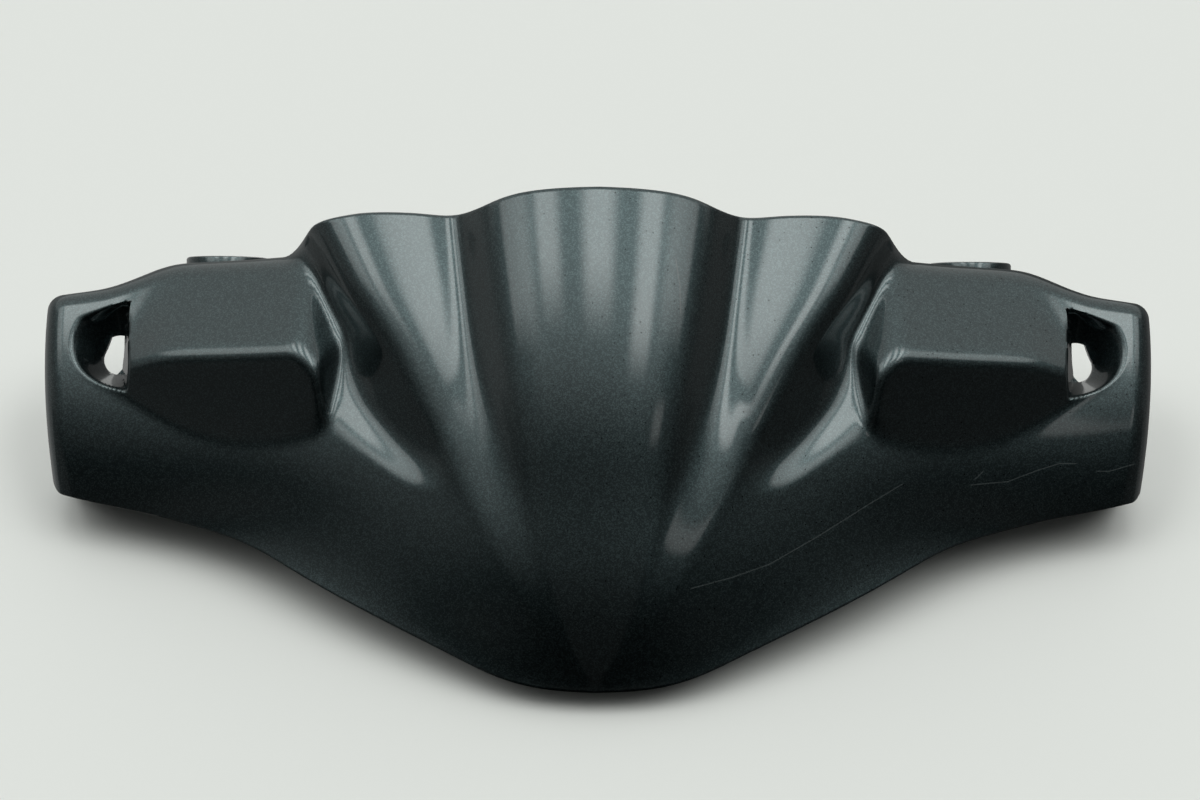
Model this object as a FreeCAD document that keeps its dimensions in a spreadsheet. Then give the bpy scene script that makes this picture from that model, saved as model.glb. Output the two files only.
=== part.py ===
import FreeCAD, Part
import math
import os
from bisect import bisect_right

# Front handlebar cover, millimetres.
# It is drawn in a face frame: x across, y up the face, z out of the face.
# At the end it is tipped to stand on its rim.

doc = FreeCAD.newDocument("cover")
sheet = doc.addObject("Spreadsheet::Sheet", "Sizes")

SIZES = [
    ("half_width", 215.0),
    ("face_height", 186.2),
    ("wall", 2.5),
    ("face_angle", 40.0),
    ("rim_gap", 8.0),
    ("bow_height", 66.0),
    ("bow_radius", 282.0),
    ("side_height", 53.0),
    ("side_radius", 330.0),
    ("box_height", 33.5),
    ("crest_height", 9.5),
    ("wing_sweep", 0.36),
    ("crest_round", 6.0),
    ("end_round", 8.0),
    ("corner_round", 5.0),
    ("funnel_x", 178.8),
    ("throat_z", 16.0),
    ("collar_out", 0.6790698),
    ("collar_level", 0.8571429),
    ("collar_z", 24.0),
    ("collar_r", 16.0),
    ("collar_rise", 3.5),
    ("collar_sink", 4.5),
    ("mirror_r", 7.0),
    ("upper_post_out", 0.4558140),
    ("upper_post_level", 0.6874339),
    ("lower_post_out", 0.7348837),
    ("lower_post_level", 0.4296455),
    ("post_r", 4.5),
    ("pilot_r", 1.7),
    ("pilot_depth", 14.0),
    ("post_back", 28.0),
    ("rib_width", 2.0),
    ("rib_length", 22.0),
    ("rib_back", 8.0),
    ("notch_r", 20.0),
    ("notch_z", 42.0),
    ("notch_level", 0.5800215),
]
for row, (name, value) in enumerate(SIZES, start=1):
    sheet.set("A%d" % row, name)
    sheet.set("B%d" % row, str(value))
    sheet.setAlias("B%d" % row, name)
doc.recompute()


def size(name):
    return float(sheet.get(name))


wall = size("wall")


def curve(points):
    """Natural cubic through a few points, straight beyond its ends."""
    xs = [p[0] for p in points]
    ys = [p[1] for p in points]
    n = len(xs)
    h = [xs[i + 1] - xs[i] for i in range(n - 1)]
    bend = [0.0] * n
    diag = [1.0] * n
    rest = [0.0] * n
    for i in range(1, n - 1):
        lean = (ys[i + 1] - ys[i]) / h[i] - (ys[i] - ys[i - 1]) / h[i - 1]
        up = h[i - 1] / diag[i - 1] if i > 1 else 0.0
        diag[i] = 2.0 * (h[i - 1] + h[i]) - up * h[i - 1]
        rest[i] = 6.0 * lean - up * rest[i - 1]
    for i in range(n - 2, 0, -1):
        bend[i] = (rest[i] - h[i] * bend[i + 1]) / diag[i]
    first = (ys[1] - ys[0]) / h[0] - h[0] * bend[1] / 6.0
    last = (ys[-1] - ys[-2]) / h[-1] + h[-1] * bend[-2] / 6.0

    def at(x):
        if x <= xs[0]:
            return ys[0] + (x - xs[0]) * first
        if x >= xs[-1]:
            return ys[-1] + (x - xs[-1]) * last
        i = bisect_right(xs, x) - 1
        d = x - xs[i]
        s = (ys[i + 1] - ys[i]) / h[i] - h[i] * (2.0 * bend[i] + bend[i + 1]) / 6.0
        return ys[i] + d * (s + d * (bend[i] / 2.0 + d * (bend[i + 1] - bend[i]) / (6.0 * h[i])))

    return at


def ease(t):
    t = min(max(t, 0.0), 1.0)
    return t * t * (3.0 - 2.0 * t)


def soft_max(a, b, k):
    near = max(k - abs(a - b), 0.0) / k
    return max(a, b) + near ** 3 * k / 6.0


def soft_min(a, b, k):
    return -soft_max(-a, -b, k)


def dome(t, limit):
    """Drop of a unit circle from its crown, carried on straight past the limit."""
    t = abs(t)
    c = min(t, limit)
    root = math.sqrt(1.0 - c * c)
    return 1.0 - root + (t - c) * limit / math.sqrt(1.0 - limit * limit)


# Outline seen from the front, right half: lower rim, cowl lip, wing top and wing end.
# It is written at its first size and stretched to the sheet's width and height.
RIM = [(0, 0), (18, 1.0), (37, 5.5), (52, 12.1), (90, 29.7), (113.7, 41.6), (129.4, 49.7), (142, 54.4),
       (153.5, 57.5), (170, 61.5), (194, 66.1), (215, 70.8)]
LIP = [(0, 186.2), (22, 184.8), (37, 181.6), (45, 178.4), (52, 176.6), (58, 176.2), (67, 176.8), (78, 177.2),
       (90, 176.7), (98, 175.4), (106, 173.2), (110.3, 171.0)]
rim_y = curve(RIM)
lip_y = curve(LIP)
wing_y = curve([(118, 161.3), (140, 160.0), (158, 159.2), (166, 158.2), (172, 156.4), (178, 154.0),
                (186, 150.9), (193, 148.9), (201, 147.6), (215, 145.6)])
end_x = curve([(66, 210.2), (95, 213.4), (119, 214.8), (135, 214.9), (150, 214.2)])
wing_tip = RIM[-1][0]
kx = size("half_width") / wing_tip
ky = size("face_height") / LIP[0][1]
# Depth of the rim, the height of the lower bulge above it, and the lower edge of the box.
rim_z = curve([(0, 53), (30, 49.5), (62, 39.5), (114, 20), (166, 4), (211, -4)])
bulge = curve([(0, 46), (60, 46), (105, 42), (150, 34), (215, 28)])
box_foot = curve([(95, 116), (99, 107), (103, 101), (109, 98), (116, 97), (135, 97), (158, 101), (180, 109),
                  (200, 117)])


def crest_y(x):
    return wing_y(max(x, 116.0))


def top_y(x):
    low = ease((x - 107.5) / 13.5)
    return lip_y(min(x, 112.0)) * (1.0 - low) + crest_y(x) * low


size_bow_height = size("bow_height")
size_bow_radius = size("bow_radius")
size_side_height = size("side_height")
size_side_radius = size("side_radius")
size_box_height = size("box_height")
size_crest_height = size("crest_height")
size_wing_sweep = size("wing_sweep")
crest_round = size("crest_round")
end_round = size("end_round")


def lobes(x, y):
    """Centre lobe and side lobe of the cowl, narrowing towards the tip."""
    y = max(y, 1.0)
    crown = size_bow_height - (y - 88.0) ** 2 / (2.0 * size_bow_radius)
    half = 51.0 * (y / 186.0) ** 0.62
    centre = crown - 0.5 * (y / 186.0) ** 0.6 * half * dome(x / half, 0.85)
    crown = size_side_height - (y - 50.0) ** 2 / (2.0 * size_side_radius)
    at = 78.0 * (y / 177.0) ** 0.72
    half = 38.0 * (y / 177.0) ** 1.7 + 3.0
    side = crown - 0.73 * (y / 177.0) ** 0.8 * half * dome((x - at) / half, 0.85)
    return soft_max(centre, side, 14.0 + 12.0 * ease((150.0 - y) / 100.0))


def wing(x, y):
    """Lower face of the wing, bulging above the rim, level in the trough beside the side lobe."""
    up = y - rim_y(x)
    high = bulge(x)
    level = min(max(0.30 * (x - 85.0), -4.5), 4.5)
    level *= ease((y - 78.0) / 22.0) * (1.0 - ease((x - 100.0) / 14.0))
    return rim_z(x) + (high ** 2 - (up - high) ** 2) / 290.0 + level


def box(x, y):
    """Box on the wing: top, front, slanted inner end, foot and outer end, softly joined."""
    back = size_wing_sweep * (x - 116.0)
    top = size_crest_height + 0.65 * (crest_y(x) - y) - back
    front = size_box_height + 0.28 * (y - 125.0) - back
    inner = 34.0 - 0.9 * (0.678 * (y - 125.5) - 0.735 * (x - 111.0))
    foot = 26.5 + 0.75 * (y - box_foot(x)) - back
    outer = 11.5 - 0.75 * (x - 178.0)
    z = soft_min(top, front, 9.0)
    z = soft_min(z, inner, 10.0)
    z = soft_min(z, foot, 6.0)
    return soft_min(z, outer, 9.0)


def front_z(x, y):
    """Depth of the painted face at a place on the sheet's size."""
    x = abs(x) / kx
    y = y / ky
    low = soft_max(wing(x, y), box(x, y), 10.0)
    z = soft_max(lobes(x, y), low, 20.0 + 10.0 * ease((165.0 - y) / 50.0))
    on_wing = ease((x - 112.0) / 10.0)
    near = max((crest_round - crest_y(x) + y) / crest_round, 0.0)
    z -= on_wing * 5.0 * dome(near, 0.9)
    near = max((end_round - end_x(y) + x) / end_round, 0.0)
    return z - 7.0 * dome(near, 0.9)


RING = [(r * wall * math.cos(a), r * wall * math.sin(a), wall * math.sqrt(1.0 - r * r))
        for r, n in ((0.0, 1), (0.6, 6), (0.96, 8)) for a in [2.0 * math.pi * i / n for i in range(n)]]


def inside_z(x, y):
    """Depth of the inside face: a ball of the wall's radius rolled under the painted face."""
    return min(front_z(x + dx, y + dy) - dz for dx, dy, dz in RING)


# Stations across and up the face, closer where the form turns. The wing's top wall starts at the turn.
FACE_ACROSS = [0, 14, 28, 40, 50, 62, 74, 86, 96, 105, 112, 119, 130, 145, 160, 172, 182, 192, 202, 209, 215]
FACE_UP = [0, 0.08, 0.18, 0.28, 0.38, 0.47, 0.55, 0.62, 0.69, 0.76, 0.83, 0.89, 0.94, 0.975, 1]
INSIDE_ACROSS = [0, 20, 40, 58, 74, 90, 105, 119, 140, 165, 190, 205, 215]
INSIDE_UP = [0, 0.12, 0.26, 0.4, 0.53, 0.65, 0.77, 0.88, 0.95, 1]
turn_x = FACE_ACROSS[11]
CORNER = 0.5 * size("corner_round")


def low_edge(x, inset):
    return rim_y(x) + CORNER * ease((x - 204.0) / 11.0) ** 2 + 1.14 * inset


def high_edge(x, inset):
    free_lip = 1.0 - ease((x - 111.0) / (turn_x - 111.0))
    return top_y(x) - CORNER * ease((x - 204.0) / 11.0) ** 2 - inset * (1.0 - free_lip)


def end_edge(x, up, inset):
    """Pull of the rounded wing end on the stations near it."""
    near_corner = ease((0.14 - min(up, 1.0 - up)) / 0.14) ** 2
    share = (x / wing_tip) ** 6
    return share * (-CORNER * near_corner - inset)


def station(x, up, inset):
    """Place on the face of one station, at the sheet's size."""
    y = low_edge(x, inset) + up * (high_edge(x, inset) - low_edge(x, inset))
    for _ in range(4):
        at = x + (end_x(y) - wing_tip) * (x / wing_tip) ** 6 + end_edge(x, up, inset)
        y = low_edge(at, inset) + up * (high_edge(at, inset) - low_edge(at, inset))
    return at * kx, y * ky


def through(points):
    """Cubic through points at whole-number parameters."""
    line = Part.BSplineCurve()
    line.interpolate(Points=points, Parameters=[float(i) for i in range(len(points))])
    return line


def skin(depth_at, across, up, inset):
    """Cubic surface through the stations of a face."""
    half = [[station(x, t, inset) for t in up] for x in across]
    right = [[FreeCAD.Vector(x, y, depth_at(x, y)) for x, y in column] for column in half]
    left = [[FreeCAD.Vector(-v.x, v.y, v.z) for v in column] for column in reversed(right[1:])]
    columns = left + right
    rows = [through([column[j] for column in columns]) for j in range(len(up))]
    nets = list(zip(*[row.getPoles() for row in rows]))
    lines = [through(list(net)) for net in nets]
    surface = Part.BSplineSurface()
    surface.buildFromPolesMultsKnots([line.getPoles() for line in lines], rows[0].getMultiplicities(),
                                     lines[0].getMultiplicities(), rows[0].getKnots(), lines[0].getKnots(),
                                     False, False, 3, 3)
    return surface


def patches(surface, across, up):
    """The left wing, the cowl and the right wing of a skin, cut at the turns."""
    n = len(across) - 1
    k = min(range(n), key=lambda i: abs(across[i] - turn_x))
    cuts = [0.0, float(n - k), float(n + k), float(2 * n)]
    parts = []
    for a, b in zip(cuts, cuts[1:]):
        part = surface.copy()
        part.segment(a, b, 0.0, float(len(up) - 1))
        parts.append(part)
    return parts


def dropped(line, depth_of):
    """A boundary curve moved along the draw direction, depth from height on the face."""
    low = line.copy()
    for i, pole in enumerate(line.getPoles(), start=1):
        low.setPole(i, FreeCAD.Vector(pole.x, pole.y, depth_of(pole)))
    return low


def level_foot(pole, line):
    """Depth of the inner rim's rear edge: level with the outer one, and with the wing end at its corner."""
    ends = [line.StartPoint, line.EndPoint]
    corner = max(ends, key=lambda end: abs(end.x))
    turn = min(ends, key=lambda end: abs(end.x))
    depth = [(rest - (v.y - lift) * math.cos(face)) / math.sin(face) for v in (pole, corner)]
    if abs(corner.x) - abs(turn.x) < 1.0:
        return depth[0]
    share = max(0.0, (abs(pole.x) - abs(turn.x)) / (abs(corner.x) - abs(turn.x)))
    return depth[0] + (back_z - depth[1]) * share


def ruled(a, b):
    return Part.makeRuledSurface(a.toShape(), b.toShape())


def cover_shell():
    """Painted face, inside face, return walls and free lip, sewn into one thin solid."""
    outside = skin(front_z, FACE_ACROSS, FACE_UP, 0.0)
    inside = skin(inside_z, INSIDE_ACROSS, INSIDE_UP, wall)
    faces = []
    pairs = zip(patches(outside, FACE_ACROSS, FACE_UP), patches(inside, INSIDE_ACROSS, INSIDE_UP))
    for place, (out, into) in zip((-1, 0, 1), pairs):
        faces += [out.toShape(), into.toShape()]
        u0, u1, v0, v1 = out.bounds()
        s0, s1, t0, t1 = into.bounds()
        rim, rim_in = out.vIso(v0), into.vIso(t0)
        foot = dropped(rim, lambda pole: (rest - pole.y * math.cos(face)) / math.sin(face))
        foot_in = dropped(rim_in, lambda pole: level_foot(pole, rim_in))
        faces += [ruled(rim, foot), ruled(rim_in, foot_in), ruled(foot, foot_in)]
        top, top_in = out.vIso(v1), into.vIso(t1)
        if place == 0:
            faces.append(ruled(top, top_in))
            continue
        back, back_in = dropped(top, lambda pole: back_z), dropped(top_in, lambda pole: back_z)
        faces += [ruled(top, back), ruled(top_in, back_in), ruled(back, back_in)]
        end, end_in = (out.uIso(u1), into.uIso(s1)) if place > 0 else (out.uIso(u0), into.uIso(s0))
        back_end, back_end_in = dropped(end, lambda pole: back_z), dropped(end_in, lambda pole: back_z)
        faces += [ruled(end, back_end), ruled(end_in, back_end_in), ruled(back_end, back_end_in)]
        turn, turn_in = (u0, s0) if place > 0 else (u1, s1)
        corner = [top.value(turn), back.value(turn), back_in.value(turn_in), top_in.value(turn_in)]
        faces.append(Part.makeFilledFace(Part.makePolygon(corner + corner[:1]).Edges))
    shell = Part.makeShell(faces)
    shell.sewShape(0.001)
    body = Part.Solid(Part.Shell(shell.Faces))
    if body.Volume < 0.0:
        body.reverse()
    return body


def middle_z(x, y):
    return 0.5 * (front_z(x, y) + inside_z(x, y))


def filled_from_middle():
    """Everything behind the middle of the wall."""
    surface = skin(middle_z, INSIDE_ACROSS, INSIDE_UP, 0.5 * wall)
    return surface.toShape().extrude(FreeCAD.Vector(0, 0, -200.0))


def solid(name, shape):
    """A shape made from the sheet's values, kept as a document object."""
    item = doc.addObject("Part::Feature", name)
    item.Shape = shape
    return item


def funnel_ring(points, z, grow):
    """One outline of the funnel: wall side, short top, slanted top, round lower side, foot."""
    at = [FreeCAD.Vector(x * kx, y * ky, z) for x, y in points]
    arc = Part.Arc(at[2], at[3], at[4]).toShape()
    sides = [Part.makeLine(at[0], at[1]), Part.makeLine(at[1], at[2]), arc, Part.makeLine(at[4], at[5]),
             Part.makeLine(at[5], at[0])]
    ring = Part.Wire(sides)
    if grow > 0.0:
        ring = ring.makeOffset2D(grow, 2)
    return ring


def funnel(grow):
    """Funnel beside the box's outer end, ruled from the throat out through its mouth."""
    wall_x = size("funnel_x")
    throat_z = -size("throat_z")
    throat = [(wall_x, 141.2), (wall_x + 2.7, 141.2), (wall_x + 14.2, 122.8), (wall_x + 12.6, 117.4),
              (wall_x + 8.2, 115.2), (wall_x, 115.2)]
    mouth = [(wall_x, 144.0), (wall_x + 2.2, 143.7), (wall_x + 23.7, 137.5), (wall_x + 19.5, 120.5),
             (wall_x + 7.2, 110.6), (wall_x, 110.2)]
    far = (20.0 - throat_z) / (-2.0 - throat_z)
    wide = [(a + (c - a) * far, b + (d - b) * far) for (a, b), (c, d) in zip(throat, mouth)]
    right = Part.makeLoft([funnel_ring(throat, throat_z, grow), funnel_ring(wide, 20.0, grow)], True, True)
    left = right.mirror(FreeCAD.Vector(0, 0, 0), FreeCAD.Vector(1, 0, 0))
    return Part.makeCompound([right, left])


def bind(item, **terms):
    """Tie properties of an object to the sheet."""
    for key, term in terms.items():
        item.setExpression(key.replace("__", "."), term)


def along(item, axis, angle):
    item.Placement = FreeCAD.Placement(FreeCAD.Vector(), FreeCAD.Rotation(axis, angle))


UP_FACE = (FreeCAD.Vector(1, 0, 0), -90.0)
ACROSS = (FreeCAD.Vector(0, 1, 0), 90.0)


def rod(name, radius, height, x, y, z, turn=None):
    item = doc.addObject("Part::Cylinder", name)
    if turn:
        along(item, *turn)
    bind(item, Radius=radius, Height=height, Placement__Base__x=x, Placement__Base__y=y, Placement__Base__z=z)
    return item


def plate(name, length, width, height, x, y, z):
    item = doc.addObject("Part::Box", name)
    bind(item, Length=length, Width=width, Height=height, Placement__Base__x=x, Placement__Base__y=y,
         Placement__Base__z=z)
    return item


def fused(name, items):
    item = doc.addObject("Part::MultiFuse", name)
    item.Shapes = items
    return item


def cut(name, base, tool):
    item = doc.addObject("Part::Cut", name)
    item.Base = base
    item.Tool = tool
    return item


# The lower walls reach the table plane, and the wings' rear edges lie level with their lower corners.
face = math.radians(size("face_angle"))
rest = rim_z(0.0) * math.sin(face) - size("rim_gap")
lift = 1.14 * wall * ky
corner_y = station(wing_tip, 0.0, 0.0)[1]
back_z = (rest - corner_y * math.cos(face)) / math.sin(face)
shell = solid("thin_shell", cover_shell())
behind = solid("behind_wall_middle", filled_from_middle())
funnel_walls = solid("funnel_walls", funnel(wall))
funnel_space = solid("funnel_space", funnel(0.0))

# Posts, ribs and funnel walls stand on the inside and end in the middle of the wall.
standing = [funnel_walls]
collars = []
drilled = [funnel_space]
for hand, sign in (("right", ""), ("left", "-")):
    for level in ("upper", "lower"):
        x = "%sSizes.half_width * Sizes.%s_post_out" % (sign, level)
        y = "Sizes.face_height * Sizes.%s_post_level" % level
        name = "%s_%s" % (hand, level)
        standing.append(rod(name + "_post", "Sizes.post_r", "Sizes.post_back + 130", x, y,
                            "-Sizes.post_back"))
        standing.append(plate(name + "_rib", "Sizes.rib_width", "Sizes.rib_length", "Sizes.rib_back + 130",
                              x + " - Sizes.rib_width / 2", y + " - Sizes.rib_length / 2",
                              "-Sizes.rib_back"))
        drilled.append(rod(name + "_pilot", "Sizes.pilot_r", "Sizes.pilot_depth + 5", x, y,
                           "-Sizes.post_back - 5"))
    x = "%sSizes.half_width * Sizes.collar_out" % sign
    y = "Sizes.face_height * Sizes.collar_level"
    collars.append(rod(hand + "_collar", "Sizes.collar_r", "Sizes.collar_sink + Sizes.collar_rise", x,
                       y + " - Sizes.collar_sink", "-Sizes.collar_z", UP_FACE))
    drilled.append(rod(hand + "_mirror_hole", "Sizes.mirror_r", "60", x, y + " - 30",
                       "-Sizes.collar_z", UP_FACE))
    start = "Sizes.half_width - 14" if hand == "right" else "-Sizes.half_width - 16"
    drilled.append(rod(hand + "_bar_notch", "Sizes.notch_r", "30", start,
                       "Sizes.face_height * Sizes.notch_level", "-Sizes.notch_z", ACROSS))
fittings = doc.addObject("Part::Common", "fittings")
fittings.Base = fused("fittings_long", standing)
fittings.Tool = behind
whole = fused("whole", [shell, fittings] + collars)
cover = cut("handlebar_cover", whole, fused("drilled_away", drilled))
cover.Label = "handlebar_cover"
doc.recompute()

# Tip the face back and set the cover on the table, centred.
tip = FreeCAD.Rotation(FreeCAD.Vector(1, 0, 0), 90.0 - size("face_angle"))
cover.Placement = FreeCAD.Placement(FreeCAD.Vector(0, 0, 0), tip)
doc.recompute()
room = cover.Shape.optimalBoundingBox(False, False)
middle = (room.YMin + room.YMax) / 2.0
cover.Placement = FreeCAD.Placement(FreeCAD.Vector(0, -middle, -rest), tip)
doc.recompute()

for item in doc.Objects:
    if "Invalid" in item.State or "Error" in item.State:
        raise RuntimeError("%s did not build" % item.Name)
    if hasattr(item, "Shape") and (item.Shape.isNull() or not item.Shape.isValid()):
        raise RuntimeError("%s has no valid shape" % item.Name)
if len(cover.Shape.Solids) != 1:
    raise RuntimeError("the cover is not one solid")
os.makedirs("parts", exist_ok=True)
cover.Shape.exportStep("parts/%s.step" % cover.Label)
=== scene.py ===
import math

import bmesh
import bpy
import numpy as np
from mathutils import Euler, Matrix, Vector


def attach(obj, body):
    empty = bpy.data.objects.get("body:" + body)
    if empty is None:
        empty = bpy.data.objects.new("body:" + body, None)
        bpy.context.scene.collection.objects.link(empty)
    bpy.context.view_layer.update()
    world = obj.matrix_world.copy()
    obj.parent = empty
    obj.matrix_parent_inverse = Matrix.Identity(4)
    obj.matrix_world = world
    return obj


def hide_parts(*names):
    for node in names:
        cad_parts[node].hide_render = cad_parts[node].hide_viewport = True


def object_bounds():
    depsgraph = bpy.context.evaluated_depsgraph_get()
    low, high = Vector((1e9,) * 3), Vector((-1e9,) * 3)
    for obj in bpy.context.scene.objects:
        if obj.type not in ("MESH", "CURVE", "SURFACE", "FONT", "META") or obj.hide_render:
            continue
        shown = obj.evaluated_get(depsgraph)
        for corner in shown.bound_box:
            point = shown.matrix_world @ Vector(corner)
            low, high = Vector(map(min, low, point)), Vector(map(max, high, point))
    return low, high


# Front handlebar cover of a scooter: one moulded shell, painted outside, bare inside.
# The form is written in millimetres in a face frame: x across, y up the face, z out of the face.

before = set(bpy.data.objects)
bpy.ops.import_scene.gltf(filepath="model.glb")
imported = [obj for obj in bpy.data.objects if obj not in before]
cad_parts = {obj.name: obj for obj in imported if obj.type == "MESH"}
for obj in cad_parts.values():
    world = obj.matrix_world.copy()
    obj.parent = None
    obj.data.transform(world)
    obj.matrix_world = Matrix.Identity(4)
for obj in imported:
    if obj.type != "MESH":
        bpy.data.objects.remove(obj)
cad_low, cad_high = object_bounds()
scene = bpy.context.scene

MM = 0.001
# Lean of the face, height of the tip's rim above the table, thickness of the wall
FACE_ANGLE = math.radians(40.0)
RIM_GAP = 8.0
WALL = 2.5


# Plain tools of the form


def curve(points):
    """Natural cubic through a few points, straight beyond its ends."""
    xs, ys = np.array(points, float).T
    n = len(xs)
    step = np.diff(xs)
    slope = np.diff(ys) / step
    rows = np.eye(n)
    right = np.zeros(n)
    for i in range(1, n - 1):
        rows[i, i - 1 : i + 2] = step[i - 1], 2.0 * (step[i - 1] + step[i]), step[i]
        right[i] = 6.0 * (slope[i] - slope[i - 1])
    bend = np.linalg.solve(rows, right)
    first = slope[0] - step[0] * bend[1] / 6.0
    last = slope[-1] + step[-1] * bend[-2] / 6.0

    def at(x):
        x = np.asarray(x, float)
        i = np.clip(np.searchsorted(xs, x) - 1, 0, n - 2)
        d = np.clip(x, xs[0], xs[-1]) - xs[i]
        lean = slope[i] - step[i] * (2.0 * bend[i] + bend[i + 1]) / 6.0
        y = ys[i] + d * (lean + d * (bend[i] / 2.0 + d * (bend[i + 1] - bend[i]) / (6.0 * step[i])))
        return y + np.minimum(x - xs[0], 0.0) * first + np.maximum(x - xs[-1], 0.0) * last

    return at


def ease(t):
    t = np.clip(t, 0.0, 1.0)
    return t * t * (3.0 - 2.0 * t)


def soft_max(a, b, k):
    near = np.maximum(k - np.abs(a - b), 0.0) / k
    return np.maximum(a, b) + near**3 * k / 6.0


def soft_min(a, b, k):
    return -soft_max(-a, -b, k)


def dome(t, limit):
    """Drop of a unit circle from its crown, carried on straight past the limit."""
    t = np.abs(t)
    c = np.minimum(t, limit)
    return 1.0 - np.sqrt(1.0 - c * c) + (t - c) * limit / math.sqrt(1.0 - limit * limit)


def edge_roll(distance, radius, drop):
    """Drop of a surface that rolls over towards an edge at distance 0."""
    return drop * dome(np.maximum(radius - distance, 0.0) / radius, 0.9)


def corner_arc(d, radius):
    """Pull of a rounded corner, up to the middle of its arc."""
    d = np.clip(d, 0.0, radius * math.sqrt(0.5))
    return radius - np.sqrt(radius * radius - d * d)


# Outline seen from the front, right half

rim_y = curve([(0, 0), (18, 1.0), (37, 5.5), (52, 12.1), (90, 29.7), (113.7, 41.6),
               (129.4, 49.7), (142, 54.4), (153.5, 57.5), (170, 61.5), (194, 66.1), (215, 70.8)])
lip_y = curve([(0, 186.0), (22, 184.8), (37, 181.6), (45, 178.4), (52, 176.6), (58, 176.2),
               (67, 176.8), (78, 177.2), (90, 176.7), (98, 175.4), (106, 173.2), (110.3, 171.0)])
wing_y = curve([(118, 161.3), (140, 160.0), (158, 159.2), (166, 158.2), (172, 156.4),
                (178, 154.0), (186, 150.9), (193, 148.9), (201, 147.6), (215, 145.6)])
end_x = curve([(66, 210.2), (95, 213.4), (119, 214.8), (135, 214.9), (150, 214.2)])
# Depth of the rim, height of the lower bulge above it, and the lower edge of the box
rim_z = curve([(0, 53), (30, 49.5), (62, 39.5), (114, 20), (166, 4), (211, -4)])
bulge = curve([(0, 46), (60, 46), (105, 42), (150, 34), (215, 28)])
box_foot = curve([(95, 116), (99, 107), (103, 101), (109, 98), (116, 97), (135, 97),
                  (158, 101), (180, 109), (200, 117)])

# Across: end of the free lip, inner end of the wing, start of its return wall, and its tip
LIP_END = 111.0
WING_START = 116.0
TURN = 119.0
WING_TIP = 215.0
# Corners of the wing's end: place across, height and radius
TOP_CORNER = (214.3, 145.7, 5.0)
LOW_CORNER = (210.6, 69.9, 4.0)
LEAST_RADIUS = 1.5
# Way up the face for each step inwards from the slanted rim
RIM_SLANT = 1.14


def crest_y(x):
    """Height of the wing's upper edge."""
    return wing_y(np.maximum(x, WING_START))


def top_y(x):
    """Height of the whole upper edge: the free lip, then down to the wing."""
    low = ease((x - 107.5) / 13.5)
    return lip_y(np.minimum(x, 112.0)) * (1.0 - low) + crest_y(x) * low


# Depth of the painted face

# Each lobe: height of its lip, half-width there, and depth, height and radius of its crown's bow
CENTRE_LIP, CENTRE_HALF, CENTRE_CROWN = 186.0, 51.0, (66.0, 88.0, 282.0)
SIDE_LIP, SIDE_HALF, SIDE_CROWN = 177.0, 38.0, (53.0, 50.0, 330.0)
SIDE_PLACE = 78.0
# Wing: roundness of its bulge, slope back towards its tip, and outer edge, depth and start of its trough
BULGE_ROUND = 290.0
WING_SWEEP = 0.36
TROUGH_EDGE, TROUGH_DEPTH, TROUGH_START = 105.0, 27.0, 72.0
# Box: inner upper corner of its front, and where its inner and outer ends begin
BOX_CORNER = (111.0, 125.5)
BOX_IN, BOX_OUT = 104.0, 178.0
# Half-width of the soft strip where the two halves meet
MIDDLE_SOFT = 5.0


def bow(y, crown):
    """Depth of a lobe's crown line."""
    depth, height, radius = crown
    return depth - (y - height) ** 2 / (2.0 * radius)


def lobes(x, y):
    """Centre lobe and side lobe of the cowl, narrowing towards the tip."""
    y = np.maximum(y, 1.0)
    half = CENTRE_HALF * (y / CENTRE_LIP) ** 0.62
    centre = bow(y, CENTRE_CROWN) - 0.5 * (y / CENTRE_LIP) ** 0.6 * half * dome(x / half, 0.93)
    at = SIDE_PLACE * (y / SIDE_LIP) ** 0.72
    slimmer = 1.0 - 0.1 * ease((150.0 - y) / 30.0)
    half = (SIDE_HALF * (y / SIDE_LIP) ** 1.7 + 3.0) * np.where(x > at, slimmer, 1.0)
    flatter = 1.0 + 0.6 * ease((y - 105.0) / 50.0)
    drop = dome(np.abs((x - at) / half) ** flatter, 0.85)
    side = bow(y, SIDE_CROWN) - 0.73 * (y / SIDE_LIP) ** 0.8 * half * drop
    return soft_max(centre, side, 9.0 + 11.0 * ease((150.0 - y) / 100.0))


def wing(x, y):
    """Lower face of the wing, bulging above the rim, level in the trough beside the side lobe."""
    up = y - rim_y(x)
    high = bulge(x)
    trough = soft_max(soft_min(x - TROUGH_EDGE, 0.0 * x, 6.0), 0.0 * x - TROUGH_DEPTH, 10.0)
    start = TROUGH_START + 0.65 * soft_max(x - 68.0, 0.0 * x, 12.0)
    level = 0.5 * trough * ease((x - 50.0) / 18.0) * ease((y - start) / 34.0)
    level = level * (1.0 - 0.45 * ease((y - 104.0) / 24.0))
    return rim_z(x) + (high**2 - (up - high) ** 2) / BULGE_ROUND + level


def box(x, y):
    """Box on the wing: top, front, two slanted faces inwards, foot and outer end, softly joined."""
    back = WING_SWEEP * (x - WING_START)
    corner_x, corner_y = BOX_CORNER
    top = 9.5 + 0.65 * (crest_y(x) - y) - back
    front = 33.5 + 0.28 * (y - 125.0) - back
    inner = 34.0 - 0.9 * (0.678 * (y - corner_y) - 0.735 * (x - corner_x))
    foot = 26.5 + 0.75 * (y - box_foot(x)) - back
    outer = 11.5 - 0.75 * (x - BOX_OUT)
    end = 33.0 + 1.5 * (x - BOX_IN)
    z = soft_min(top, front, 6.0)
    z = soft_min(z, inner, 7.0)
    z = soft_min(z, end, 5.0)
    z = soft_min(z, foot, 4.0)
    return soft_min(z, outer, 6.0)


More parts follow.
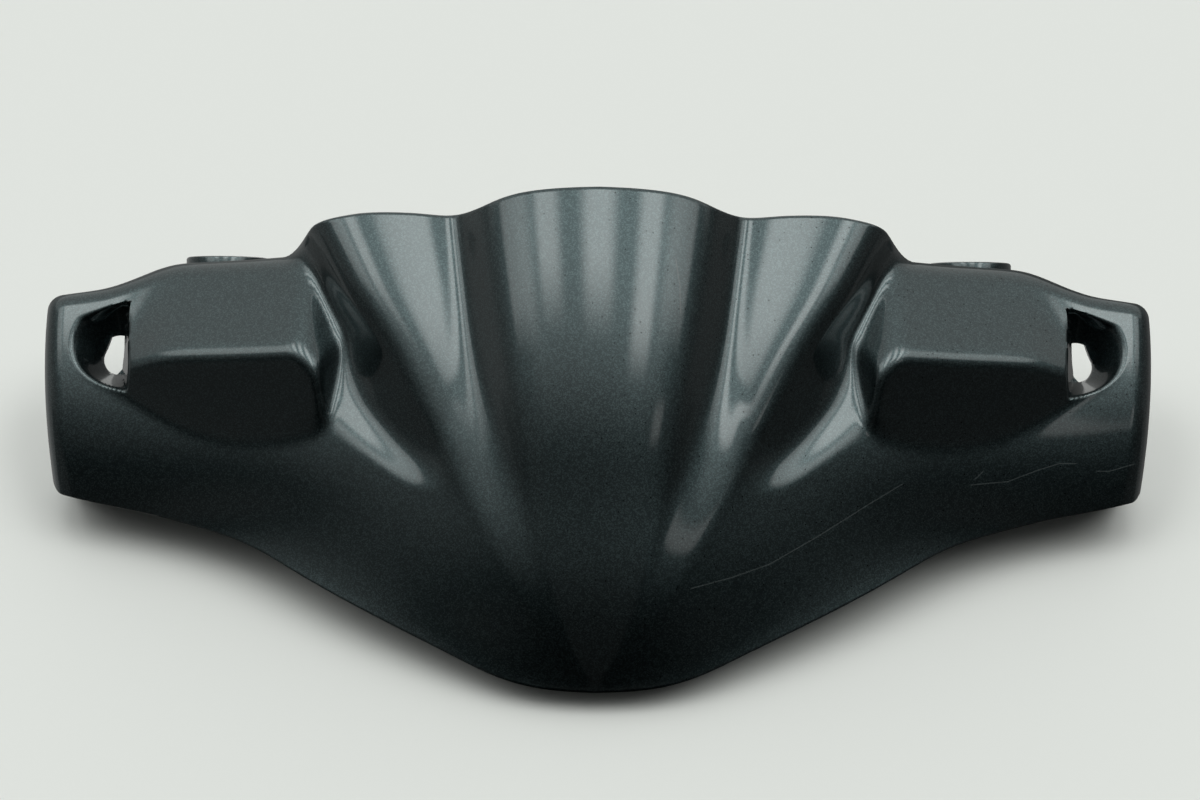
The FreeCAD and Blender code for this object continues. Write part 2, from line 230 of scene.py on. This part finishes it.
# Funnel beside the box's outer end: throat and mouth, each with its depth
THROAT_Z, MOUTH_Z = -16.0, -2.0
THROAT_TIP, THROAT_TOP, THROAT_OUT = (183.7, 140.4), (185.0, 140.4), (192.6, 124.4)
THROAT_END, THROAT_IN = (188.0, 115.5), (185.8, 118.0)
THROAT_ROUND, MOUTH_ROUND = (187.7, 121.3, 5.7), (183.8, 132.8, 21.3)
MOUTH_TIP, MOUTH_OUT, MOUTH_IN = (181.0, 144.4), (203.6, 140.6), (182.6, 110.8)


def beside(x, y, a, b):
    """Distance to the left of the line from a to b."""
    along_x, along_y = b[0] - a[0], b[1] - a[1]
    return (along_x * (y - a[1]) - along_y * (x - a[0])) / math.hypot(along_x, along_y)


def past_round(x, y, ring):
    """Distance outside a circle."""
    return np.hypot(x - ring[0], y - ring[1]) - ring[2]


def ruled_z(past_throat, inside_mouth):
    """Depth of a wall that runs straight from the throat to the mouth."""
    reach = np.maximum(past_throat + inside_mouth, 0.5)
    return THROAT_Z + (MOUTH_Z - THROAT_Z) * past_throat / reach


def funnel(x, y):
    """Walls of the funnel: the box's side, a slanted upper side, a round lower side and a short top."""
    side = ruled_z(beside(x, y, THROAT_IN, THROAT_TIP), -beside(x, y, MOUTH_IN, MOUTH_TIP))
    upper = ruled_z(beside(x, y, THROAT_TOP, THROAT_OUT), beside(x, y, MOUTH_OUT, MOUTH_TIP))
    lower = ruled_z(past_round(x, y, THROAT_ROUND), -past_round(x, y, MOUTH_ROUND))
    ceiling = ruled_z(y - THROAT_TIP[1], MOUTH_TIP[1] - y)
    z = soft_max(upper, lower, 1.2)
    z = soft_max(z, THROAT_Z - 1.0 + 0.0 * x, 1.0)
    z = soft_max(z, ceiling, 1.0)
    return soft_max(z, side, 1.5)


def front_z(x, y):
    """Depth of the painted face without the small rounding of its edges, smooth across the middle."""
    x = np.hypot(x, MIDDLE_SOFT)
    low = soft_max(wing(x, y), box(x, y), 7.0)
    z = soft_max(lobes(x, y), low, 13.0 + 15.0 * ease((85.0 - y) / 60.0))
    z = z - ease((x - 112.0) / 10.0) * edge_roll(crest_y(x) - y, 6.0, 5.0)
    z = soft_min(z, funnel(x, y), 2.5)
    return z - edge_roll(end_x(y) - x, 8.0, 7.0)


def skin_z(x, y):
    """Depth of the painted face with its rim and its free lip rounded."""
    x = np.abs(x)
    on_lip = 1.0 - ease((x - 108.0) / 8.0)
    rim_roll = edge_roll(0.9 * (y - rim_y(x)), 0.5, 0.4)
    return front_z(x, y) - rim_roll - on_lip * edge_roll(top_y(x) - y, 0.9, 0.7)


def inside_z(x, y):
    """Depth of the inside: a ball of the wall's radius rolled under the painted face."""
    z = front_z(x, y) - WALL
    for r, count in ((0.6, 6), (0.96, 10)):
        for i in range(count):
            turn = 2.0 * math.pi * i / count
            over = front_z(x + r * WALL * math.cos(turn), y + r * WALL * math.sin(turn))
            z = np.minimum(z, over - WALL * math.sqrt(1.0 - r * r))
    return z


# From the face frame to the frame of the part

rest = float(rim_z(0.0)) * math.sin(FACE_ANGLE) - RIM_GAP
nose = np.linspace(0.0, CENTRE_LIP, 400)
nose_at = np.min(nose * math.sin(FACE_ANGLE) - front_z(0.0 * nose, nose) * math.cos(FACE_ANGLE))
middle = nose_at - cad_low.y / MM


def place(x, y, z):
    """Points of the part, in metres, from places in the face frame."""
    x, y, z = np.broadcast_arrays(np.asarray(x, float), y, z)
    back = y * math.sin(FACE_ANGLE) - z * math.cos(FACE_ANGLE) - middle
    up = y * math.cos(FACE_ANGLE) + z * math.sin(FACE_ANGLE) - rest
    return np.stack([x, back, up], -1) * MM


def foot_z(y):
    """Depth of the table plane at a height on the face."""
    return (rest - y * math.cos(FACE_ANGLE)) / math.sin(FACE_ANGLE)


# Stations of the skin


def steps(*stops):
    """Evenly spaced values between stops, each stop given with the number of steps up to it."""
    values = [0.0]
    for stop, count in stops:
        values += list(np.linspace(values[-1], stop, count + 1)[1:])
    return values


half_across = np.array(steps((TURN, 84), (172.0, 36), (206.0, 48), (213.0, 10), (WING_TIP, 4)))
across = np.concatenate([-half_across[:0:-1], half_across])
up_face = np.array(steps((0.011, 4), (0.032, 3), (0.94, 130), (0.985, 5), (1.0, 4)))


def low_edge(x, inset):
    """Rim with its outer corner, moved inwards."""
    corner_x, _, radius = LOW_CORNER
    radius = max(radius - inset, LEAST_RADIUS)
    return rim_y(x) + RIM_SLANT * inset + corner_arc(x - (corner_x - inset - radius), radius)


def high_edge(x, inset):
    """Upper edge with its outer corner, moved inwards where a return wall hangs on it."""
    corner_x, _, radius = TOP_CORNER
    radius = max(radius - inset, LEAST_RADIUS)
    walled = ease((x - LIP_END) / (TURN - LIP_END))
    return top_y(x) - inset * walled - corner_arc(x - (corner_x - inset - radius), radius)


def wing_end(y, inset):
    """Outer edge of the wing with its two corners, moved inwards."""
    _, top, top_radius = TOP_CORNER
    _, low, low_radius = LOW_CORNER
    top_radius = max(top_radius - inset, LEAST_RADIUS)
    low_radius = max(low_radius - inset, LEAST_RADIUS)
    pull = corner_arc(y - (top - inset - top_radius), top_radius)
    pull = pull + corner_arc(low + RIM_SLANT * inset + low_radius - y, low_radius)
    return end_x(y) - inset - pull


def stations(columns, rows, inset):
    """Places on the face that follow its outline."""
    share = (np.abs(columns)[:, None] / WING_TIP) ** 6
    x = np.abs(columns)[:, None] + 0.0 * rows
    for _ in range(12):
        y = low_edge(x, inset) + rows * (high_edge(x, inset) - low_edge(x, inset))
        x = np.abs(columns)[:, None] + share * (wing_end(y, inset) - WING_TIP)
    return np.sign(columns)[:, None] * x, y


# The shell: painted face, inside, return walls, rear edges and free lip


def outline_path(columns, rows):
    """Grid indices along the outline, from the right turn around the rim to the left turn."""
    n, m = len(columns), len(rows)
    right = int(np.argmin(np.abs(columns - TURN)))
    left = n - 1 - right
    index = np.arange(n * m).reshape(n, m)
    path = [index[right:, m - 1], index[n - 1, m - 2 :: -1], index[n - 2 :: -1, 0], index[0, 1:]]
    path.append(index[1 : left + 1, m - 1])
    return index, np.concatenate(path), index[left : right + 1, m - 1]


def grid_faces(index):
    quads = np.stack([index[:-1, :-1], index[1:, :-1], index[1:, 1:], index[:-1, 1:]], -1)
    return quads.reshape(-1, 4).tolist()


def strip_faces(a, b):
    """Faces between two lines of points. The second line may have half as many steps."""
    if len(a) == len(b):
        return [[a[i], a[i + 1], b[i + 1], b[i]] for i in range(len(a) - 1)]
    return [[a[2 * i], a[2 * i + 1], a[2 * i + 2], b[i + 1], b[i]] for i in range(len(b) - 1)]


def wall_rows(points, path, back, count):
    """Points of a straight return wall, row by row from the skin to its rear edge."""
    x, y, z = points[path].T
    return [np.stack([x, y, z + (back - z) * k / count], -1) for k in range(1, count + 1)]


PAINT, BARE = 0, 1
WALL_STEPS = 6


def shell_mesh():
    """The closed shell without its holes."""
    corner_y = LOW_CORNER[1] - 0.4
    rear = foot_z(corner_y)
    x, y = stations(across, up_face, 0.0)
    outside = np.stack([x, y, skin_z(x, y)], -1).reshape(-1, 3)
    index, path, lip = outline_path(across, up_face)
    inner_across, inner_up = across[::2], up_face[::2]
    x, y = stations(inner_across, inner_up, WALL)
    inside = np.stack([x, y, inside_z(x, y)], -1).reshape(-1, 3)
    inner_index, inner_path, inner_lip = outline_path(inner_across, inner_up)

    points = [outside, inside]
    start = len(outside)
    total = len(outside) + len(inside)
    faces = [(grid_faces(index), PAINT), (grid_faces(inner_index + start), BARE)]
    outer_lines = [path]
    back = np.maximum(foot_z(outside[path, 1]), rear)
    for row in wall_rows(outside, path, back, WALL_STEPS):
        points.append(row)
        outer_lines.append(np.arange(total, total + len(row)))
        total += len(row)
    inner_lines = [inner_path + start]
    back = np.maximum(foot_z(inside[inner_path, 1] - RIM_SLANT * WALL), rear)
    for row in wall_rows(inside, inner_path, back, WALL_STEPS):
        points.append(row)
        inner_lines.append(np.arange(total, total + len(row)))
        total += len(row)
    for a, b in zip(outer_lines, outer_lines[1:]):
        faces.append((strip_faces(a, b), PAINT))
    for a, b in zip(inner_lines, inner_lines[1:]):
        faces.append((strip_faces(a, b), BARE))
    faces.append((strip_faces(outer_lines[-1], inner_lines[-1]), PAINT))
    faces.append((strip_faces(lip, inner_lip + start), PAINT))
    for end in (0, -1):
        ring = [line[end] for line in outer_lines] + [line[end] for line in reversed(inner_lines)]
        faces.append(([ring], PAINT))

    points = np.concatenate(points)
    mesh = bpy.data.meshes.new("cover_shell")
    every = [face for group, _ in faces for face in group]
    mesh.from_pydata(place(*points.T).tolist(), [], [[int(i) for i in face] for face in every])
    mesh.polygons.foreach_set("material_index", [slot for group, slot in faces for _ in group])
    return mesh


# Small solids along the axes of the face frame

# Mirror holes and their collars: place across and in depth, hole, and the collar's radius and height
MIRROR_X, MIRROR_Z = 146.0, -24.0
MIRROR_HOLE, MIRROR_CUT = 9.0, (150.0, 170.0)
COLLAR_PROFILE = ((7.0, 155.1), (15.4, 155.1), (16.0, 155.7), (16.0, 161.1), (15.75, 161.7),
                  (15.1, 162.0), (7.6, 162.0), (7.0, 161.4))
COLLAR_SIDES = 64
# Screw posts: radius, radius of the pilot hole, its depth and the free end
POST_RADIUS, PILOT_RADIUS, PILOT_END, POST_END = 4.5, 1.7, -14.0, -28.0
# Ribs: half the width, half the length and the free edge
RIB_HALF, RIB_REACH, RIB_EDGE = 1.0, 11.0, -8.0
# Notches for the bar: height, depth and radius, and the cut's ends across
BAR_Y, BAR_Z, BAR_RADIUS, BAR_CUT = 108.0, -42.2, 20.0, (202.0, 232.0)
# Depths between which the funnel's throat is cut
THROAT_CUT = (-40.0, -13.5)


def loop_solid(rings, name):
    """Closed solid through rings of points with equal counts, capped at both ends."""
    n = len(rings[0])
    points = np.concatenate(rings)
    faces = []
    for k in range(len(rings) - 1):
        for i in range(n):
            j = (i + 1) % n
            faces.append([k * n + i, k * n + j, (k + 1) * n + j, (k + 1) * n + i])
    faces.append(list(range(n))[::-1])
    faces.append([len(points) - n + i for i in range(n)])
    mesh = bpy.data.meshes.new(name)
    mesh.from_pydata(place(*points.T).tolist(), [], faces)
    return mesh


def circle(radius, count=48):
    turn = 2.0 * math.pi * np.arange(count) / count
    return radius * np.cos(turn), radius * np.sin(turn)


def upright_rod(x, z, radius, low, high):
    """Cutter along y, up the face."""
    dx, dz = circle(radius)
    return loop_solid([np.stack([x + dx, 0 * dx + at, z + dz], -1) for at in (low, high)], "rod")


def cross_rod(y, z, radius, low, high):
    """Cutter along x."""
    dy, dz = circle(radius, 96)
    return loop_solid([np.stack([0 * dy + at, y + dy, z + dz], -1) for at in (low, high)], "rod")


def throat_ring(sign, z):
    """Teardrop outline of the funnel's hole."""
    middle_x, middle_y, radius = THROAT_ROUND
    first = math.atan2(THROAT_OUT[1] - middle_y, THROAT_OUT[0] - middle_x)
    last = math.atan2(THROAT_END[1] - middle_y, THROAT_END[0] - middle_x)
    turn = np.linspace(first, last, 14)
    bend = np.stack([middle_x + radius * np.cos(turn), middle_y + radius * np.sin(turn)], -1)
    x, y = np.concatenate([[THROAT_TIP, THROAT_TOP], bend, [THROAT_IN]]).T
    return np.stack([sign * x, y, 0 * x + z], -1)


def collar(sign):
    """Raised round collar around the mirror's hole, with rounded edges, closed by the hole's wall."""
    rings = []
    for radius, y in COLLAR_PROFILE:
        dx, dz = circle(radius, COLLAR_SIDES)
        rings.append(np.stack([sign * MIRROR_X + dx, 0 * dx + y, MIRROR_Z + dz], -1))
    faces = []
    for k in range(len(rings)):
        a, b = k * COLLAR_SIDES, (k + 1) % len(rings) * COLLAR_SIDES
        for i in range(COLLAR_SIDES):
            j = (i + 1) % COLLAR_SIDES
            faces.append([a + i, a + j, b + j, b + i])
    mesh = bpy.data.meshes.new("collar")
    mesh.from_pydata(place(*np.concatenate(rings).T).tolist(), [], faces)
    return mesh


def post(x, y):
    """Screw post: a rod with a pilot hole, standing on the inside of the wall."""
    dx, dy = circle(1.0)
    top = inside_z(x + POST_RADIUS * dx, y + POST_RADIUS * dy) + 0.5 * WALL
    outline = [(PILOT_RADIUS, PILOT_END), (PILOT_RADIUS, POST_END), (0.93 * POST_RADIUS, POST_END),
               (POST_RADIUS, POST_END + 0.4), (POST_RADIUS, top)]
    rings = [np.stack([x + radius * dx, y + radius * dy, 0 * dx + z], -1) for radius, z in outline]
    return loop_solid(rings, "post")


def rib(x, y):
    """Upright web through a post, its top in the wall."""
    left, right = x - RIB_HALF, x + RIB_HALF
    rings = []
    for at in np.linspace(y - RIB_REACH, y + RIB_REACH, 12):
        top = float(inside_z(np.array(x), np.array(at))) + 0.5 * WALL
        corners = [(left, at, RIB_EDGE), (right, at, RIB_EDGE), (right, at, top), (left, at, top)]
        rings.append(np.array(corners))
    return loop_solid(rings, "rib")


def joined(meshes, name):
    """One mesh from several, each given with its material slot or None to keep its own."""
    bm = bmesh.new()
    for mesh, slot in meshes:
        first = len(bm.faces)
        bm.from_mesh(mesh)
        if slot is not None:
            bm.faces.ensure_lookup_table()
            for face in bm.faces[first:]:
                face.material_index = slot
    bmesh.ops.recalc_face_normals(bm, faces=bm.faces)
    mesh = bpy.data.meshes.new(name)
    bm.to_mesh(mesh)
    bm.free()
    return mesh


def shown(mesh, name):
    item = bpy.data.objects.new(name, mesh)
    scene.collection.objects.link(item)
    return item


def cut_out(mesh, cutter):
    """The mesh with the cutter's solids taken away."""
    base = shown(mesh, "shell")
    tool = shown(cutter, "cutter")
    cut = base.modifiers.new("cut", "BOOLEAN")
    cut.operation = "DIFFERENCE"
    cut.solver = "EXACT"
    cut.object = tool
    ready = base.evaluated_get(bpy.context.evaluated_depsgraph_get())
    result = bpy.data.meshes.new_from_object(ready)
    bpy.data.objects.remove(base)
    bpy.data.objects.remove(tool)
    return result


# Materials


class Wire:
    """A shader socket that takes part in Python sums. Each sum adds its Math node."""

    def __init__(self, tree, socket):
        self.tree = tree
        self.socket = socket

    def node(self, kind, settings=None, out=0, **inputs):
        """Any node: its type, its settings, the output to take, and values or wires for its sockets."""
        item = self.tree.nodes.new(kind)
        for key, value in (settings or {}).items():
            setattr(item, key, value)
        for key, value in inputs.items():
            name = int(key[1:]) if key[0] == "i" and key[1:].isdigit() else key.replace("_", " ")
            socket = item.inputs[name]
            if isinstance(value, Wire):
                self.tree.links.new(value.socket, socket)
            else:
                socket.default_value = value
        return Wire(self.tree, item.outputs[out])

    def maths(self, operation, *values):
        inputs = {"i%d" % k: value for k, value in enumerate(values)}
        return self.node("ShaderNodeMath", {"operation": operation}, **inputs)

    def __add__(self, other):
        return self.maths("ADD", self, other)

    def __sub__(self, other):
        return self.maths("SUBTRACT", self, other)

    def __mul__(self, other):
        return self.maths("MULTIPLY", self, other)

    def __rsub__(self, other):
        return self.maths("SUBTRACT", other, self)

    def __truediv__(self, other):
        return self.maths("DIVIDE", self, other)

    __radd__ = __add__
    __rmul__ = __mul__

    def clipped(self):
        return self.node("ShaderNodeClamp", Value=self)

    def ramp(self, low, high):
        """0 at low, 1 at high, smooth between."""
        settings = {"interpolation_type": "SMOOTHSTEP"}
        return self.node("ShaderNodeMapRange", settings, Value=self, From_Min=low, From_Max=high)


def material(name):
    item = bpy.data.materials.new(name)
    item.use_nodes = True
    shader = item.node_tree.nodes["Principled BSDF"]
    return item, shader, Wire(item.node_tree, shader.outputs[0])


def feed(wire, shader, name):
    wire.tree.links.new(wire.socket, shader.inputs[name])


def tinted(make, share, a, b):
    """A colour between a and b."""
    return make.node("ShaderNodeMix", {"data_type": "RGBA"}, out=2, i0=share, i6=a, i7=b)


# Fine scratches in the paint: places along each, in the face frame
SCRATCHES = (((147.0, 81.0), (144.0, 78.2)),
             ((142.6, 76.0), (157.0, 77.2), (169.5, 81.8), (177.5, 84.2), (184.0, 84.2)),
             ((192.5, 81.3), (197.0, 81.2), (207.0, 84.0)),
             ((35.0, 38.6), (50.0, 42.4), (64.0, 47.0), (83.0, 57.4), (103.0, 69.4), (115.0, 76.3)),
             ((28.4, 159.0), (29.9, 149.5), (30.2, 139.5)))
# Tones of the flakes, of a scratch and of a pinhole, and cells to the metre for flakes and pinholes
FLAKE_DARK, FLAKE_PALE = (0.034, 0.050, 0.053, 1.0), (0.064, 0.092, 0.096, 1.0)
SCRATCH_TONE, PINHOLE_TONE = (0.085, 0.09, 0.09, 1.0), (0.004, 0.004, 0.004, 1.0)
FLAKE_CELLS, PINHOLE_CELLS = 2600.0, 500.0


def stroke(x, y, a, b):
    """Mask of a fine straight scratch from a to b."""
    length = math.hypot(b[0] - a[0], b[1] - a[1])
    run_x, run_y = (b[0] - a[0]) / length, (b[1] - a[1]) / length
    along = (x - a[0]) * run_x + (y - a[1]) * run_y
    off = x.maths("ABSOLUTE", (x - a[0]) * run_y - (y - a[1]) * run_x)
    past = x.maths("ABSOLUTE", along - 0.5 * length) - 0.5 * length
    return (1.0 - off.ramp(0.08, 0.32)) * (1.0 - past.ramp(0.0, 0.8))


def painted():
    """Dark metallic paint under clear gloss, with pinholes and a few fine scratches."""
    item, shader, make = material("graphite_paint")
    shader.inputs["Coat Roughness"].default_value = 0.06
    spot = make.node("ShaderNodeTexCoord", out=3)
    cells = make.node("ShaderNodeTexVoronoi", Vector=spot, Scale=FLAKE_CELLS, out=1)
    flake = make.node("ShaderNodeSeparateColor", Color=cells)
    colour = tinted(make, flake.ramp(0.4, 1.0), FLAKE_DARK, FLAKE_PALE)
    out_x, out_y, out_z = [make.node("ShaderNodeSeparateXYZ", Vector=spot, out=k) / MM
                           for k in range(3)]
    face_y = (out_y + middle) * math.sin(FACE_ANGLE) + (out_z + rest) * math.cos(FACE_ANGLE)
    scratch = 0.0
    for line in SCRATCHES:
        for a, b in zip(line, line[1:]):
            scratch = stroke(out_x, face_y, a, b) + scratch
    scratch = scratch.clipped()
    distance, pick = [make.node("ShaderNodeTexVoronoi", Vector=spot, Scale=PINHOLE_CELLS, out=k)
                      for k in range(2)]
    kept = make.node("ShaderNodeSeparateColor", Color=pick).ramp(0.68, 0.7) * out_x.ramp(-90.0, 20.0)
    pinhole = (1.0 - distance.ramp(0.1, 0.17)) * kept
    colour = tinted(make, 0.4 * scratch, colour, SCRATCH_TONE)
    colour = tinted(make, 0.9 * pinhole, colour, PINHOLE_TONE)
    feed(colour, shader, "Base Color")
    feed(0.3 + 0.08 * flake, shader, "Roughness")
    feed(1.0 - 0.4 * scratch, shader, "Metallic")
    feed(1.0 - 0.8 * pinhole, shader, "Coat Weight")
    return item


def bare():
    """Unpainted inside of the moulding."""
    item, shader, make = material("bare_plastic")
    shader.inputs["Base Color"].default_value = (0.018, 0.018, 0.019, 1.0)
    spot = make.node("ShaderNodeTexCoord", out=3)
    grain = make.node("ShaderNodeTexNoise", Vector=spot, Scale=900.0, Detail=2.0)
    feed(0.5 + 0.2 * grain, shader, "Roughness")
    return item


# The cover

SIDES = (1.0, -1.0)
POSTS = [(sign * x, y) for sign in SIDES for x, y in ((98.0, 128.0), (158.0, 80.0))]
SHARP_ANGLE = math.radians(40.0)

cutters = []
for sign in SIDES:
    cutters.append((loop_solid([throat_ring(sign, z) for z in THROAT_CUT], "throat"), None))
    cutters.append((upright_rod(sign * MIRROR_X, MIRROR_Z, MIRROR_HOLE, *MIRROR_CUT), None))
    cutters.append((cross_rod(BAR_Y, BAR_Z, BAR_RADIUS, *[sign * x for x in BAR_CUT]), None))
shell = cut_out(joined([(shell_mesh(), None)], "shell"), joined(cutters, "cutters"))
parts = [(shell, None)]
for sign in SIDES:
    parts.append((collar(sign), PAINT))
for x, y in POSTS:
    parts.append((post(x, y), BARE))
    parts.append((rib(x, y), BARE))
cover_mesh = joined(parts, "handlebar_cover_skin")
cover_mesh.shade_smooth()
cover_mesh.set_sharp_from_angle(angle=SHARP_ANGLE)
cover_mesh.materials.clear()
cover_mesh.materials.append(painted())
cover_mesh.materials.append(bare())
cover = shown(cover_mesh, "cover_skin")
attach(cover, "root")
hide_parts("handlebar_cover")

# Floor, light and camera


FLOOR_CORNERS = ((-4.0, -4.0), (4.0, -4.0), (4.0, 4.0), (-4.0, 4.0))


def pale_floor():
    """Plain pale table top."""
    item, shader, _ = material("pale_table")
    shader.inputs["Base Color"].default_value = (0.755, 0.775, 0.755, 1.0)
    shader.inputs["Roughness"].default_value = 0.7
    return item


floor_mesh = bpy.data.meshes.new("table")
floor_mesh.from_pydata([(x, y, 0.0) for x, y in FLOOR_CORNERS], [], [(0, 1, 2, 3)])
floor_mesh.materials.append(pale_floor())
table = shown(floor_mesh, "table")
table.visible_glossy = False


# A plain ceiling with soft strips that run away from the viewer, dark towards the viewer
world = bpy.data.worlds.new("room")
world.use_nodes = True
scene.world = world
sky = world.node_tree.nodes["Background"]
sky.inputs["Color"].default_value = (0.85, 0.86, 0.84, 1.0)
look = Wire(world.node_tree, sky.outputs[0])
ray = look.node("ShaderNodeTexCoord", out=0)
ray_x, ray_y, ray_z = [look.node("ShaderNodeSeparateXYZ", Vector=ray, out=k) for k in range(3)]
height = look.maths("MAXIMUM", ray_z, 0.03)
ceiling_x = ray_x / height
ceiling_y = ray_y / height
# Each strip: place across, soft half-width from and to, front end, strength
STRIPS = ((-0.42, 0.05, 0.17, -0.62, 4.0), (0.0, 0.05, 0.17, -0.66, 4.5),
          (0.42, 0.05, 0.17, -0.85, 4.5),
          (-0.95, 0.2, 0.45, -0.7, 2.0), (0.95, 0.2, 0.45, -0.7, 2.0))
# A small window on the right: place across, place along, strength
WINDOW_X, WINDOW_Y, WINDOW_STRENGTH = 0.95, -1.05, 1.1
# The open ceiling, and beside it the walls, darker on the right
glow = 0.04 + 0.05 * ceiling_y.ramp(-2.4, -1.0) + 0.74 * ceiling_y.ramp(-1.25, -0.4)
behind = ceiling_y.ramp(0.0, 0.3)
aside = look.maths("ABSOLUTE", ceiling_x)
far = aside.ramp(0.6, 1.1) * (1.0 - behind) + aside.ramp(1.5, 2.6) * behind
right = ceiling_x.ramp(-0.5, 0.5)
horizon = look.maths("ABSOLUTE", ray_x).ramp(0.35, 0.75) * (1.0 - ray_z.ramp(0.1, 0.4))
wall_glow = (0.12 - 0.05 * right) * horizon + (0.27 - 0.15 * right) * ceiling_y.ramp(-2.0, -0.5)
glow = glow * (1.0 - far) + wall_glow * far
for at, core, edge, front_end, strength in STRIPS:
    across_strip = 1.0 - look.maths("ABSOLUTE", ceiling_x - at).ramp(core, edge)
    along_strip = ceiling_y.ramp(front_end, front_end + 0.35) * (1.0 - ceiling_y.ramp(0.0, 0.22))
    glow = glow + strength * across_strip * along_strip
window_x = look.maths("ABSOLUTE", ceiling_x - WINDOW_X)
window_y = look.maths("ABSOLUTE", ceiling_y - WINDOW_Y)
window = (1.0 - window_x.ramp(0.06, 0.22)) * (1.0 - window_y.ramp(0.05, 0.2))
glow = glow + WINDOW_STRENGTH * window
feed(glow, sky, "Strength")

# Camera square to the face: place in the face frame, focal length and image width in pixels, and roll
CAMERA_PLACE = (0.9, 107.2, 1150.0)
FOCAL_PIXELS, IMAGE_WIDTH = 2984.0, 1200.0
CAMERA_ROLL = math.radians(0.45)
SENSOR = 36.0

camera = bpy.data.cameras.new("camera")
camera.sensor_width = SENSOR
camera.lens = SENSOR * FOCAL_PIXELS / IMAGE_WIDTH
view = bpy.data.objects.new("camera", camera)
view.location = place(*CAMERA_PLACE).tolist()
lean = Euler((math.pi / 2.0 - FACE_ANGLE, 0.0, 0.0)).to_matrix()
roll = Euler((0.0, 0.0, CAMERA_ROLL)).to_matrix()
view.rotation_euler = (lean @ roll).to_euler()
scene.collection.objects.link(view)
scene.camera = view
scene.view_settings.view_transform = "Standard"
